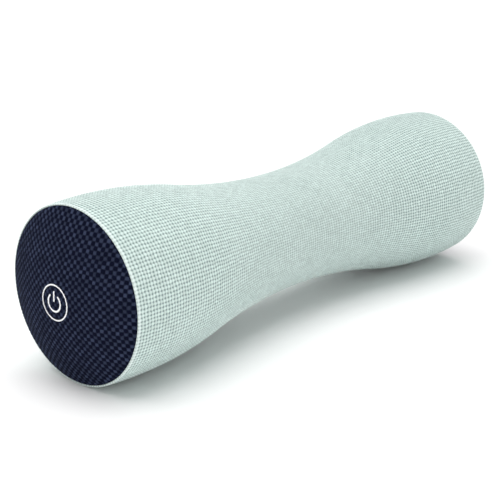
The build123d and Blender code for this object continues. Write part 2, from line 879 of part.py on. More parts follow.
def output_shaft(side):
    """Upright shaft from a worm wheel to its carrier."""
    return post(output_shaft_radius, box_floor_z + 0.5, shaft_top_z, head_places[side])


def node_places(side):
    """Where the two nodes of a head stand at rest, in line along the roller."""
    return [head_places[side] - node_offset, head_places[side] + node_offset]


def kneading_carrier(side):
    """Round plate on the output shaft, with two upright pegs for the nodes."""
    x = head_places[side]
    plate = post(carrier_radius, carrier_bottom_z, carrier_top_z, x)
    plate = plate + post(carrier_hub_radius, carrier_top_z, shaft_top_z, x)
    for place in node_places(side):
        plate = plate + post(peg_shoulder_radius, carrier_top_z, node_floor_z - 0.1, place)
        plate = plate + post(peg_radius, carrier_top_z, peg_top_z, place)
        plate = plate + post(peg_end_radius, peg_top_z, peg_top_z + 1.2, place)
    return plate - post(output_shaft_radius, 0, shaft_top_z, x)


def carrier_screw(side):
    """Screw that holds a carrier down on its shaft."""
    return post(carrier_screw_radius, shaft_top_z, carrier_screw_top_z, head_places[side])


def massage_node(x):
    """Ball that kneads, free to turn on its peg."""
    ball = Pos(x, 0, node_z) * Sphere(node_radius)
    ball = ball - block(x - node_radius, x + node_radius, -node_radius, node_radius, 0, node_floor_z)
    ball = ball - post(peg_radius + running_gap, 0, peg_top_z + 1, x)
    return ball - post(washer_room_radius, peg_top_z + 0.1, beyond, x)


def node_retainers(side):
    """Washers pressed on the pegs above the nodes."""
    washers = []
    for x in node_places(side):
        washer = post(washer_radius, peg_top_z + 0.2, peg_top_z + 1.0, x)
        washers.append(washer - post(peg_end_radius, 0, beyond, x))
    return washers


# ---- Wires


def corner_radii(points):
    """Largest bend at each corner that leaves both of its runs some straight length."""
    radii = []
    for before, corner, after in zip(points, points[1:], points[2:]):
        first = Vector(*corner) - Vector(*before)
        second = Vector(*after) - Vector(*corner)
        half_turn = math.radians(first.get_angle(second)) / 2
        radii.append(0.45 * min(first.length, second.length) / math.tan(half_turn))
    return radii


def wire_pair(points):
    """Two wires one above the other along a route."""
    wires = []
    for lift in (-wire_pitch / 2, wire_pitch / 2):
        route = [(x, y, z + lift) for x, y, z in points]
        path = FilletPolyline(*route, radius=corner_radii(route)) if len(route) > 2 else Line(*route)
        section = Plane(origin=path @ 0, z_dir=path % 0) * Circle(wire_radius)
        wires.append(sweep(section, path=path))
    return wires


connector_x = -(board_x - connector_depth)


def motor_leads():
    """Wires from the motor's end to the control board."""
    z = motor_wire_z
    start = motor_back_x - 1
    loop = [(start, -8, z), (108, -8, z), (116, 5, z), (108, wire_y, z)]
    return wire_pair(loop + [(connector_x, wire_y, z)])


def charging_leads():
    """Wires from the charging board to the control board."""
    z = charging_wire_z
    points = [(charging_board_x, 7, z), (148, 7, z), (136, wire_y, z), (connector_x, wire_y, z)]
    return wire_pair(points)


def battery_leads():
    """Wires from the battery pack to the control board."""
    start = cell_start_x - tab_gap - holder_plate
    ends = (start, connector_x)
    return wire_pair([(x, battery_wire_y, battery_wire_z) for x in ends])


# ---- Every piece

pieces = {
    "fabric_cover": fabric_cover(),
    "foam_sleeve": foam_sleeve(),
    "upper_housing": upper_housing(),
    "lower_housing": lower_housing(),
    "housing_screws": closing_screws(),
    "mount_screws": mount_screws(),
    "near_cap_frame": near_cap_frame(),
    "near_cap_fabric": at_near_end(cap_fabric(button_hole_radius)),
    "far_cap_frame": far_cap_frame(),
    "far_cap_fabric": cap_fabric(port_hole_radius),
    "cap_screws": cap_screws(),
    "power_button": power_button(),
    "button_fabric": button_fabric(),
    "switch_plunger": switch_plunger(),
    "tact_switch": tact_switch(),
    "control_board": control_board(),
    "board_components": board_components(),
    "board_screws": board_screws(),
    "port_bezel": port_bezel(),
    "charging_socket": charging_socket(),
    "socket_tongue": socket_tongue(),
    "charging_board": charging_board(),
    "battery_cells": battery_cells(),
    "battery_holder": battery_holder(),
    "battery_tabs": battery_tabs(),
    "gearbox_base": gearbox_base(),
    "gearbox_cover": gearbox_cover(),
    "gearbox_screws": gearbox_screws(),
    "output_bushes": output_bushes(),
    "worm_bushes": worm_bushes(),
    "worm_shaft": worm_shaft(),
    "shaft_coupling": shaft_coupling(),
    "motor_can": motor_can(),
    "motor_magnets": motor_magnets(),
    "motor_end_bell": motor_end_bell(),
    "motor_armature": motor_armature(),
    "motor_bracket": motor_bracket(),
    "motor_screws": motor_screws(),
    "motor_leads": motor_leads(),
    "charging_leads": charging_leads(),
    "battery_leads": battery_leads(),
}
for side in head_places:
    pieces[side + "_worm"] = worm(side)
    pieces[side + "_worm_wheel"] = worm_wheel(side)
    pieces[side + "_output_shaft"] = output_shaft(side)
    pieces[side + "_carrier"] = kneading_carrier(side)
    pieces[side + "_carrier_screw"] = carrier_screw(side)
    pieces[side + "_node_retainers"] = node_retainers(side)
    positions = ("outer", "inner") if side == "left" else ("inner", "outer")
    for position, x in zip(positions, node_places(side)):
        pieces[side + "_" + position + "_node"] = massage_node(x)

os.makedirs("parts", exist_ok=True)
for name, piece in pieces.items():
    if isinstance(piece, list):
        piece = Compound(children=[p.solid() for p in piece])
    export_step(piece, "parts/" + name + ".step")
    print(name)
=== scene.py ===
import math

import bpy
import numpy as np
from mathutils import Matrix, Vector


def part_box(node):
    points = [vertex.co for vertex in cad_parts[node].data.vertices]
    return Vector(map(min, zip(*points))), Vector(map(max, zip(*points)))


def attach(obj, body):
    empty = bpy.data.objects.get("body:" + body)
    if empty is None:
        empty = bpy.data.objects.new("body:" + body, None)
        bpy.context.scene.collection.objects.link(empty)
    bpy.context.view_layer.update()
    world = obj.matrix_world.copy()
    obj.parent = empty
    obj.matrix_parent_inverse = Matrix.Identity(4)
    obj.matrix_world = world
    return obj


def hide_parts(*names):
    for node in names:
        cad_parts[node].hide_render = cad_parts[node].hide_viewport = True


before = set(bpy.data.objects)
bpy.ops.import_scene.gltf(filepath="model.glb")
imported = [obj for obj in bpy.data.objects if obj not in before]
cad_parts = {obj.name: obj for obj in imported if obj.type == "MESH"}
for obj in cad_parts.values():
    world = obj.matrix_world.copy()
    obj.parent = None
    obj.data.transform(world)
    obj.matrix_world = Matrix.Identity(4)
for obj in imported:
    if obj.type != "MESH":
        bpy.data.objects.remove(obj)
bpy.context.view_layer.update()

MM = 0.001
TURN = 2 * math.pi

# ---- Sizes that the CAD fixes, in metres

cover_low, cover_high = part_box("fabric_cover")
RIM_X = cover_high.x
SHOULDER_RADIUS = cover_high.z
FLOOR_Z = cover_low.z
WAIST_RADIUS = 35.0 * MM
SHOULDER_X = 137.0 * MM
SHOULDER_ARC = 253.0 * MM
CLOTH_THICKNESS = 0.9 * MM
DOME_APEX_X = 173.0 * MM
DOME_RADIUS = 98.0 * MM
CAP_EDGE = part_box("near_cap_fabric")[1].y
CAP_CLOTH = 0.8 * MM
BUTTON_HOLE = 9.06 * MM
BUTTON_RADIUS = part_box("button_fabric")[1].y
PORT_HOLE = 7.08 * MM
RISE = SHOULDER_RADIUS - WAIST_RADIUS
ARC_SPACING = (SHOULDER_X**2 + RISE**2) / (2 * RISE)
WAIST_ARC = ARC_SPACING - SHOULDER_ARC


def radius_at(x, depth):
    """Radius of the roller's skin, or of a surface a depth below it, at places along its axis."""
    x = np.abs(x)
    hollow = WAIST_RADIUS + WAIST_ARC - np.sqrt(np.maximum((WAIST_ARC + depth) ** 2 - x**2, 0))
    full = SHOULDER_RADIUS - SHOULDER_ARC + np.sqrt((SHOULDER_ARC - depth) ** 2 - (x - SHOULDER_X) ** 2)
    return np.where(x < SHOULDER_X * (WAIST_ARC + depth) / ARC_SPACING, hollow, full)


def dome_x(r, depth):
    """Place along the axis of the domed end's skin, at distances from the axis."""
    return DOME_APEX_X - DOME_RADIUS + np.sqrt((DOME_RADIUS - depth) ** 2 - r**2)


# ---- Weaves, as heights between -1 and 1

ROUND_CELLS = 150
LONG_CELLS = 158
LONG_PITCH = 2 * RIM_X / LONG_CELLS
MINT_RELIEF = 0.22 * MM
NAVY_PITCH = 2.08 * MM
NAVY_RELIEF = 0.13 * MM


def mint_height(u, v):
    """Square weave: a rounded bump in each cell, a shallow gap between cells and a pit at each corner."""
    gap_u = 0.5 + 0.5 * np.cos(TURN * u)
    gap_v = 0.5 + 0.5 * np.cos(TURN * v)
    return 1 - 0.7 * gap_u - 0.7 * gap_v - 0.6 * gap_u * gap_v


def navy_height(y, z):
    """Plain weave: threads along Y float over every other cell, and threads along Z over the rest."""
    a = np.abs(np.sin(math.pi * y / NAVY_PITCH))
    b = np.abs(np.sin(math.pi * z / NAVY_PITCH))
    over = np.sin(math.pi * y / NAVY_PITCH) * np.sin(math.pi * z / NAVY_PITCH) > 0
    along_y = np.sqrt(b) * (0.35 + 0.65 * a)
    along_z = np.sqrt(a) * (0.25 + 0.55 * b)
    return 2 * np.where(over, along_y, along_z) - 1


# ---- Mesh building


def piece(name, points, faces, body, material):
    """Smooth mesh object made of points and four-sided faces, which rides on a body."""
    mesh = bpy.data.meshes.new(name)
    mesh.from_pydata(points.tolist(), [], faces.tolist())
    mesh.validate()
    mesh.update()
    obj = bpy.data.objects.new(name, mesh)
    bpy.context.scene.collection.objects.link(obj)
    mesh.materials.append(material)
    mesh.polygons.foreach_set("use_smooth", [True] * len(mesh.polygons))
    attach(obj, body)
    return obj


def grid_faces(rows, columns, wrap_rows, wrap_columns):
    """Faces of a grid of points, which may close on itself either way."""
    i = np.arange(rows if wrap_rows else rows - 1)[:, None]
    j = np.arange(columns if wrap_columns else columns - 1)[None, :]
    ni = (i + 1) % rows
    nj = (j + 1) % columns
    corners = (i * columns + j, i * columns + nj, ni * columns + nj, ni * columns + j)
    return np.stack([np.broadcast_to(c, (i.size, j.size)) for c in corners], axis=-1).reshape(-1, 4)


def open_edges(faces, count):
    """Edges that only one face has, among faces on a number of points."""
    edges = np.concatenate([faces[:, [k, (k + 1) % 4]] for k in range(4)])
    keys = edges[:, 0].astype(np.int64) * count + edges[:, 1]
    back = edges[:, 1].astype(np.int64) * count + edges[:, 0]
    return edges[~np.isin(keys, back)]


def slab(top, bottom, faces):
    """Closed sheet between two layers of points with the same faces, and its side walls."""
    count = len(top)
    rim = open_edges(faces, count)
    walls = np.stack([rim[:, 1], rim[:, 0], rim[:, 0] + count, rim[:, 1] + count], axis=1)
    whole = np.concatenate([faces, faces[:, ::-1] + count, walls])
    points = np.concatenate([top, bottom])
    used, place = np.unique(whole, return_inverse=True)
    return points[used], place.reshape(whole.shape)


# ---- Materials


class Graph:
    """Short way to write a material's nodes."""

    def __init__(self, name, roughness, metallic=0.0, **sockets):
        self.material = bpy.data.materials.new(name)
        self.material.use_nodes = True
        self.nodes = self.material.node_tree.nodes
        self.links = self.material.node_tree.links
        self.shader = self.nodes["Principled BSDF"]
        self.shader.inputs["Roughness"].default_value = roughness
        self.shader.inputs["Metallic"].default_value = metallic
        for socket, value in sockets.items():
            self.shader.inputs[socket.replace("_", " ")].default_value = value

    def join(self, node, socket, value):
        if hasattr(value, "is_output"):
            self.links.new(value, node.inputs[socket])
        else:
            node.inputs[socket].default_value = value

    def place(self):
        return self.nodes.new("ShaderNodeTexCoord").outputs["Object"]

    def axes(self):
        node = self.nodes.new("ShaderNodeSeparateXYZ")
        self.join(node, 0, self.place())
        return node.outputs

    def math(self, operation, *values):
        node = self.nodes.new("ShaderNodeMath")
        node.operation = operation
        for socket, value in enumerate(values):
            self.join(node, socket, value)
        return node.outputs[0]

    def noise(self, scale, detail=3.0, stretch=None):
        node = self.nodes.new("ShaderNodeTexNoise")
        node.inputs["Scale"].default_value = scale
        node.inputs["Detail"].default_value = detail
        place = self.place()
        if stretch:
            mapping = self.nodes.new("ShaderNodeMapping")
            mapping.inputs["Scale"].default_value = stretch
            self.join(mapping, "Vector", place)
            place = mapping.outputs[0]
        self.join(node, "Vector", place)
        return node.outputs["Fac"]

    def cells(self, u, v, spread):
        """Number from 1 - spread to 1 + spread that is the same all over a cell of a weave."""
        combine = self.nodes.new("ShaderNodeCombineXYZ")
        self.join(combine, 0, self.math("FLOOR", u))
        self.join(combine, 1, self.math("FLOOR", v))
        node = self.nodes.new("ShaderNodeTexWhiteNoise")
        self.join(node, "Vector", combine.outputs[0])
        return self.span(node.outputs["Value"], 1 - spread, 1 + spread)

    def voronoi(self, scale, feature="F1"):
        node = self.nodes.new("ShaderNodeTexVoronoi")
        node.feature = feature
        node.inputs["Scale"].default_value = scale
        self.join(node, "Vector", self.place())
        return node.outputs["Distance"]

    def span(self, value, low, high, start=0.0, end=1.0):
        """Value that runs from low to high while the input runs from start to end."""
        node = self.nodes.new("ShaderNodeMapRange")
        self.join(node, "Value", value)
        node.inputs["From Min"].default_value = start
        node.inputs["From Max"].default_value = end
        node.inputs["To Min"].default_value = low
        node.inputs["To Max"].default_value = high
        return node.outputs[0]

    def blend(self, share, first, second):
        """Colour between two colours."""
        node = self.nodes.new("ShaderNodeMix")
        node.data_type = "RGBA"
        self.join(node, 0, share)
        self.join(node, 6, first)
        self.join(node, 7, second)
        return node.outputs[2]

    def dim(self, colour, share):
        """Colour times a number."""
        node = self.nodes.new("ShaderNodeVectorMath")
        node.operation = "SCALE"
        self.join(node, 0, colour)
        self.join(node, "Scale", share)
        return node.outputs[0]

    def colour(self, value):
        self.join(self.shader, "Base Color", value)

    def rough(self, value):
        self.join(self.shader, "Roughness", value)

    def bump(self, height, distance, strength=1.0):
        node = self.nodes.new("ShaderNodeBump")
        node.inputs["Strength"].default_value = strength
        node.inputs["Distance"].default_value = distance
        self.join(node, "Height", height)
        self.links.new(node.outputs[0], self.shader.inputs["Normal"])


def srgb(red, green, blue, alpha=1.0):
    """Linear colour of a colour given from 0 to 255."""
    linear = []
    for c in (red, green, blue):
        linear.append(((c / 255 + 0.055) / 1.055) ** 2.4 if c > 10 else c / 255 / 12.92)
    return (*linear, alpha)


def gap(g, u):
    """1 on the line between two cells, falling to 0 in the middle of a cell."""
    return g.math("MULTIPLY_ADD", g.math("COSINE", g.math("MULTIPLY", u, TURN)), 0.5, 0.5)


NOISE_RANGE = (0.3, 0.7)
WAIST_SPAN = (0.02, 0.10)
# How far the painted shade in the waist hollow darkens the threads.
WAIST_SHADE = 0.90
WAIST_CONTRAST = 0.70
# Colour of the painted shade in the gaps and pits between the mint threads.
MINT_PIT_SHADE = (98, 126, 123)
# Distances inward from the rim where the painted highlight starts and where it reaches full strength.
RIM_HIGHLIGHT_BAND = (2.2 * MM, 0.8 * MM)


def mint_material():
    """Square weave with painted shade in its gaps, which open up towards the shoulders, painted shade on
    the threads in the waist hollow and a painted highlight along each rim.
    """
    g = Graph("mint_cloth", 0.82, Sheen_Weight=0.12, Sheen_Roughness=0.5, Specular_IOR_Level=0.25)
    x, y, z = g.axes()
    u = g.math("MULTIPLY", g.math("ARCTAN2", z, y), ROUND_CELLS / TURN)
    v = g.math("DIVIDE", x, LONG_PITCH)
    stray_u = g.math("ADD", u, g.span(g.noise(210.0, 2.0), -0.13, 0.13, *NOISE_RANGE))
    stray_v = g.math("ADD", v, g.span(g.noise(190.0, 2.0, (1.0, 1.3, 1.3)), -0.15, 0.15, *NOISE_RANGE))
    gap_u = gap(g, stray_u)
    gap_v = gap(g, stray_v)
    # Gap lines and corner pits are mixed towards the pit colour: painted shade in the weave's recesses.
    lines = g.math("MAXIMUM", gap_u, gap_v)
    pits = g.math("MULTIPLY", gap_u, gap_v)
    line_shade = g.math("MULTIPLY", g.math("POWER", lines, 2.2), 0.30)
    shade = g.math("ADD", line_shade, g.math("MULTIPLY", pits, 0.70))
    ply = g.math("SINE", g.math("MULTIPLY", g.math("ADD", g.math("MULTIPLY", u, 3.0), v), TURN))
    fuzz = g.noise(2600.0, 4.0)
    patch = g.noise(28.0, 2.0)
    thread_with_painted_light = g.blend(patch, srgb(212, 229, 224), srgb(221, 236, 232))
    off_centre = g.math("ABSOLUTE", x)
    # Threads darken towards the middle of the waist: painted shade in the hollow between the shoulders.
    waist_shade = g.span(off_centre, WAIST_SHADE, 1.0, *WAIST_SPAN)
    thread_with_painted_light = g.dim(thread_with_painted_light, g.math("MULTIPLY", g.cells(u, v, 0.075), waist_shade))
    shade = g.math("MULTIPLY", shade, g.span(off_centre, WAIST_CONTRAST, 1.0, *WAIST_SPAN))
    # Near-white painted highlight along each rim, where the cloth rolls over the edge; it also fades the
    # painted shade in the gaps there.
    rim = g.span(off_centre, 0.0, 0.8, RIM_X - RIM_HIGHLIGHT_BAND[0], RIM_X - RIM_HIGHLIGHT_BAND[1])
    thread_with_painted_light = g.blend(rim, thread_with_painted_light, srgb(236, 247, 244))
    shade = g.math("MULTIPLY", shade, g.math("SUBTRACT", 1.0, g.math("MULTIPLY", rim, 0.6)))
    shade = g.math("ADD", shade, g.span(fuzz, -0.10, 0.10, *NOISE_RANGE))
    g.colour(g.blend(shade, thread_with_painted_light, srgb(*MINT_PIT_SHADE)))
    g.rough(g.span(fuzz, 0.72, 0.92, *NOISE_RANGE))
    height = g.math("SUBTRACT", g.math("MULTIPLY", ply, 0.12), g.math("MULTIPLY", lines, 0.9))
    g.bump(g.math("ADD", height, g.math("MULTIPLY", fuzz, 0.35)), 0.10 * MM, 0.8)
    return g.material


def navy_material():
    """Plain weave of soft navy threads, with a painted highlight where a thread along Y lies on top and
    painted shade on the rest, darkest between threads.
    """
    g = Graph("navy_cloth", 0.9, Specular_IOR_Level=0.04)
    _, y, z = g.axes()
    u = g.math("DIVIDE", y, NAVY_PITCH)
    v = g.math("DIVIDE", z, NAVY_PITCH)
    stray_u = g.math("ADD", u, g.span(g.noise(240.0, 2.0), -0.14, 0.14, *NOISE_RANGE))
    stray_v = g.math("ADD", v, g.span(g.noise(200.0, 2.0, (1.0, 1.2, 1.2)), -0.14, 0.14, *NOISE_RANGE))
    wave_u = g.math("SINE", g.math("MULTIPLY", stray_u, math.pi))
    wave_v = g.math("SINE", g.math("MULTIPLY", stray_v, math.pi))
    check = g.math("MULTIPLY", wave_u, wave_v)
    # Painted light: threads along Y that lie on top take the light colour as a painted highlight; the
    # others take painted shade, darkest at the lines between cells.
    over = g.span(check, 0.0, 1.0, -0.30, 0.60)
    under_shade = g.span(check, 0.0, 0.22, 0.0, -1.0)
    fuzz = g.noise(2400.0, 4.0)
    ply = g.math("SINE", g.math("MULTIPLY", g.math("ADD", u, g.math("MULTIPLY", v, 3.0)), TURN))
    light = g.dim(srgb(50, 57, 78)[:3], g.cells(u, v, 0.28))
    painted_shade_navy = g.blend(under_shade, srgb(5, 8, 27), srgb(22, 28, 51))
    mixed = g.blend(over, painted_shade_navy, light)
    g.colour(g.dim(mixed, g.span(fuzz, 0.80, 1.20, *NOISE_RANGE)))
    g.rough(g.span(fuzz, 0.80, 1.0, *NOISE_RANGE))
    height = g.math("ADD", g.math("MULTIPLY", ply, 0.15), g.math("MULTIPLY", fuzz, 0.5))
    g.bump(height, 0.10 * MM, 0.8)
    return g.material


def ink_material():
    g = Graph("white_ink", 0.5, Specular_IOR_Level=0.4)
    fuzz = g.noise(2200.0, 3.0)
    g.colour(g.blend(g.span(fuzz, 0.0, 1.0, 0.35, 0.7), srgb(255, 255, 255), srgb(240, 241, 246)))
    g.rough(g.span(fuzz, 0.42, 0.62, *NOISE_RANGE))
    g.bump(fuzz, 0.05 * MM, 0.6)
    return g.material


def foam_material():
    g = Graph("open_cell_foam", 0.95, Specular_IOR_Level=0.1)
    pores = g.voronoi(900.0)
    tint = g.noise(30.0, 2.0)
    skin = g.blend(tint, srgb(92, 95, 99), srgb(116, 119, 123))
    # Pore centres are mixed towards near-black: painted shade inside the foam's open cells.
    g.colour(g.blend(g.span(pores, 0.75, 0.0, 0.0, 0.55), skin, srgb(38, 40, 43)))
    g.bump(pores, 0.5 * MM, 0.9)
    return g.material


def plastic_material(name, base, worn, roughness, grain=900.0):
    """Moulded plastic with a fine spark-eroded grain, faint flow marks and rubbed patches."""
    g = Graph(name, roughness, Specular_IOR_Level=0.45)
    fine = g.noise(grain * 3, 4.0)
    flow = g.noise(45.0, 3.0, (1.0, 4.0, 4.0))
    g.colour(g.blend(g.span(flow, 0.0, 0.8, 0.35, 0.7), base, worn))
    g.rough(g.span(flow, roughness - 0.08, roughness + 0.1, *NOISE_RANGE))
    g.bump(fine, 0.03 * MM, 0.5)
    return g.material


def metal_material(name, bright, dull, roughness, stretch=(1.0, 18.0, 18.0)):
    """Metal with fine machining lines and slightly tarnished patches."""
    g = Graph(name, roughness, 1.0)
    lines = g.noise(420.0, 4.0, stretch)
    tarnish = g.noise(70.0, 3.0)
    g.colour(g.blend(g.span(tarnish, 0.0, 1.0, 0.35, 0.7), bright, dull))
    g.rough(g.span(lines, roughness - 0.08, roughness + 0.14, *NOISE_RANGE))
    g.bump(lines, 0.012 * MM, 0.5)
    return g.material


def board_material():
    g = Graph("circuit_board", 0.38, Specular_IOR_Level=0.5)
    fine = g.noise(1500.0, 3.0)
    lanes = g.voronoi(330.0, "DISTANCE_TO_EDGE")
    track = g.span(lanes, 1.0, 0.0, 0.03, 0.07)
    mask = g.blend(fine, srgb(14, 74, 46), srgb(20, 92, 58))
    g.colour(g.blend(track, mask, srgb(40, 128, 82)))
    g.rough(g.span(fine, 0.30, 0.46, *NOISE_RANGE))
    g.bump(track, 0.035 * MM, 0.8)
    return g.material


def cell_material():
    g = Graph("shrink_wrap", 0.28, Specular_IOR_Level=0.5, Coat_Weight=0.2, Coat_Roughness=0.2)
    wrinkle = g.noise(160.0, 3.0, (0.4, 3.0, 3.0))
    g.colour(g.blend(wrinkle, srgb(26, 104, 150), srgb(40, 128, 176)))
    g.rough(g.span(wrinkle, 0.20, 0.40, *NOISE_RANGE))
    g.bump(wrinkle, 0.06 * MM, 0.6)
    return g.material


mint_cloth = mint_material()
navy_cloth = navy_material()
white_ink = ink_material()
foam = foam_material()

PLASTICS = {
    "housing_plastic": ("housing_plastic_grained", (58, 60, 64), (74, 76, 80), 0.55),
    "black_plastic": ("black_plastic_grained", (18, 19, 22), (30, 31, 35), 0.42, 1200.0),
    "gearbox_plastic": ("gearbox_plastic_grained", (196, 198, 194), (212, 213, 208), 0.5),
    "gear_plastic": ("gear_plastic_waxy", (228, 224, 206), (238, 235, 220), 0.36),
    "node_plastic": ("node_plastic_satin", (176, 96, 62), (190, 110, 74), 0.34),
    "ferrite": ("sintered_ferrite", (40, 39, 40), (56, 54, 54), 0.62, 700.0),
    "wire_insulation": ("wire_insulation_soft", (150, 30, 30), (172, 44, 42), 0.4),
}
METALS = {
    "bracket_alloy": ("bracket_alloy_rolled", (206, 208, 210), (172, 174, 178), 0.36),
    "zinc_steel": ("zinc_plated_steel", (196, 200, 204), (150, 154, 152), 0.34),
    "shaft_steel": ("ground_shaft_steel", (200, 202, 206), (168, 170, 176), 0.22),
    "bearing_bronze": ("sintered_bronze", (176, 128, 74), (132, 92, 52), 0.42),
    "nickel": ("nickel_plate", (206, 202, 190), (176, 170, 156), 0.24),
}
FINISHES = {
    "mint_fabric": mint_cloth,
    "navy_fabric": navy_cloth,
    "grey_foam": foam,
    "circuit_board": board_material(),
    "cell_wrap": cell_material(),
}
for slot_name, (name, first, second, *rest) in PLASTICS.items():
    FINISHES[slot_name] = plastic_material(name, srgb(*first), srgb(*second), *rest)
for slot_name, (name, first, second, roughness) in METALS.items():
    FINISHES[slot_name] = metal_material(name, srgb(*first), srgb(*second), roughness)
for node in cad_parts.values():
    for slot in node.material_slots:
        finish = slot.material.name.split(".")[0] if slot.material else ""
        if finish in FINISHES:
            slot.material = FINISHES[finish]

# ---- Cover: one woven tube, stretched over the whole roller and turned in at both rims

RIM_ROWS = 3
INNER_ROWS = 7


def cover_cloth():
    half_thick = CLOTH_THICKNESS / 2
    flat_x = RIM_X - half_thick
    rows = 2 * LONG_CELLS + 1
    columns = 2 * ROUND_CELLS
    x = np.linspace(-flat_x, flat_x, rows)
    depth = np.zeros(rows)
    relief = np.full(rows, MINT_RELIEF)
    turn = np.linspace(0, math.pi, RIM_ROWS + 2)[1:-1]
    far_x = flat_x + half_thick * np.sin(turn)
    far_depth = half_thick * (1 - np.cos(turn))
    back_x = np.linspace(flat_x, -flat_x, INNER_ROWS)
    x = np.concatenate([x, far_x, back_x, -far_x[::-1]])
    depth = np.concatenate([depth, far_depth, np.full(INNER_ROWS, CLOTH_THICKNESS), far_depth[::-1]])
    relief = np.concatenate([relief, np.full(len(x) - rows, 0.0)])
    angle = np.arange(columns) * TURN / columns
    u = angle * ROUND_CELLS / TURN
    v = x / LONG_PITCH
    height = mint_height(u[None, :], v[:, None]) * relief[:, None]
    radius = radius_at(np.clip(x, -RIM_X, RIM_X), 0.0)[:, None] - depth[:, None] + height
    grid_x = np.broadcast_to(x[:, None], radius.shape)
    y = radius * np.cos(angle)[None, :]
    z = radius * np.sin(angle)[None, :]
    low = FLOOR_Z + np.where(depth > half_thick, CLOTH_THICKNESS, 0.0)[:, None]
    z = np.maximum(z, low)
    points = np.stack([grid_x, y, z], axis=-1).reshape(-1, 3)
    faces = grid_faces(len(x), columns, True, True)
    cloth = piece("cover_cloth", points, faces, "casing", mint_cloth)
    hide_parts("fabric_cover")


# ---- Foam pad with its window over the kneading heads

WINDOW_X = 50.5 * MM
WINDOW_Z = 14.0 * MM
FOAM_TOP_DEPTH = 1.05 * MM
FOAM_BOTTOM_DEPTH = 5.95 * MM
FOAM_SWELL = 0.05 * MM
FOAM_ROWS = 22
UNDER_COLUMNS = 72
OVER_COLUMNS = 40


def foam_pad():
    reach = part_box("foam_sleeve")[1].x
    side = np.linspace(-reach, -WINDOW_X, FOAM_ROWS)
    middle = np.linspace(-WINDOW_X, WINDOW_X, FOAM_ROWS)
    x = np.concatenate([side, middle[1:-1], -side[::-1]])
    under_share = np.arange(UNDER_COLUMNS) / UNDER_COLUMNS
    share = np.concatenate([under_share, 1 + np.arange(OVER_COLUMNS) / OVER_COLUMNS])

    def layer(depth, swell):
        radius = radius_at(x, depth)
        edge = np.arcsin(np.clip(WINDOW_Z / radius, -1, 1))[:, None]
        kept = math.pi - edge + share[None, :] * (math.pi + 2 * edge)
        opened = edge + (math.pi - 2 * edge) * (share[None, :] - 1) + TURN
        angle = np.where(share[None, :] < 1, kept, opened)
        wave = np.sin(angle * 5 + x[:, None] * 60) * np.sin(x[:, None] * 95) * swell
        wide = radius[:, None] + wave
        grid_x = np.broadcast_to(x[:, None], wide.shape)
        return np.stack([grid_x, wide * np.cos(angle), wide * np.sin(angle)], axis=-1).reshape(-1, 3)

    faces = grid_faces(len(x), len(share), False, True)
    row = faces[:, 0] // len(share)
    column = faces[:, 0] % len(share)
    in_window = (column >= UNDER_COLUMNS) & (np.abs(x[row] + x[row + 1]) / 2 < WINDOW_X)
    top, bottom = layer(FOAM_TOP_DEPTH, FOAM_SWELL), layer(FOAM_BOTTOM_DEPTH, 0.0)
    points, kept_faces = slab(top, bottom, faces[~in_window][:, ::-1])
    pad = piece("foam_pad", points, kept_faces, "casing", foam)
    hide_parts("foam_sleeve")


# ---- Domed ends: coarse plain weave pulled over each end plate and turned round its edge

NAVY_STEPS = 5
EDGE_TURN = 0.7 * MM


def disc_cloth(name, side, outer, inner, body, replaced):
    """Disc of cloth on one of the two domed ends, with a hole at its middle if inner isn't 0."""
    step = NAVY_PITCH / NAVY_STEPS
    half = int(math.ceil(outer / step)) + 1
    line = np.arange(-half, half + 1) * step
    y, z = np.meshgrid(line, line, indexing="ij")
    faces = grid_faces(len(line), len(line), False, False)
    flat_y, flat_z = y.ravel(), z.ravel()
    centre_r = np.hypot(flat_y[faces].mean(axis=1), flat_z[faces].mean(axis=1))
    faces = faces[(centre_r < outer) & (centre_r > inner)]
    r = np.hypot(flat_y, flat_z)
    rim = np.unique(open_edges(faces, len(r)))
    target = np.where(r[rim] > (outer + inner) / 2, outer, max(inner, 1e-6))
    scale = target / np.maximum(r[rim], 1e-9)
    flat_y = flat_y.copy()
    flat_z = flat_z.copy()
    flat_y[rim] *= scale
    flat_z[rim] *= scale
    r = np.hypot(flat_y, flat_z)
    safe = np.minimum(r, outer)
    top = dome_x(safe, 0.0) + navy_height(flat_y, flat_z) * NAVY_RELIEF
    over = np.clip((safe - outer + EDGE_TURN) / EDGE_TURN, 0, 1)
    if inner > 0:
        over = np.maximum(over, np.clip((inner + EDGE_TURN / 2 - safe) / (EDGE_TURN / 2), 0, 1) * 0.8)
    top = top - EDGE_TURN * (1 - np.sqrt(1 - (over * 0.97) ** 2))
    bottom = dome_x(safe, CAP_CLOTH)
    upper = np.stack([side * top, flat_y, flat_z], axis=-1)
    lower = np.stack([side * bottom, flat_y, flat_z], axis=-1)
    points, whole = slab(upper, lower, faces if side > 0 else faces[:, ::-1])
    cloth = piece(name, points, whole, body, navy_cloth)
    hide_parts(replaced)


# ---- Printed marks: white ink that follows the threads

INK = 0.07 * MM
RING_RADIUS = 9.56 * MM
RING_HALF_WIDTH = 0.38 * MM
RING_COUNT = 241
ARC_RADIUS = 4.68 * MM
ARC_COUNT = 121
ARC_OPENING = math.radians(34)
STROKE_HALF_WIDTH = 0.50 * MM
BAR_LOW = 0.57 * MM
BAR_HIGH = 6.4 * MM
BAR_LENGTH = 5.83 * MM
BAR_COUNT = 41


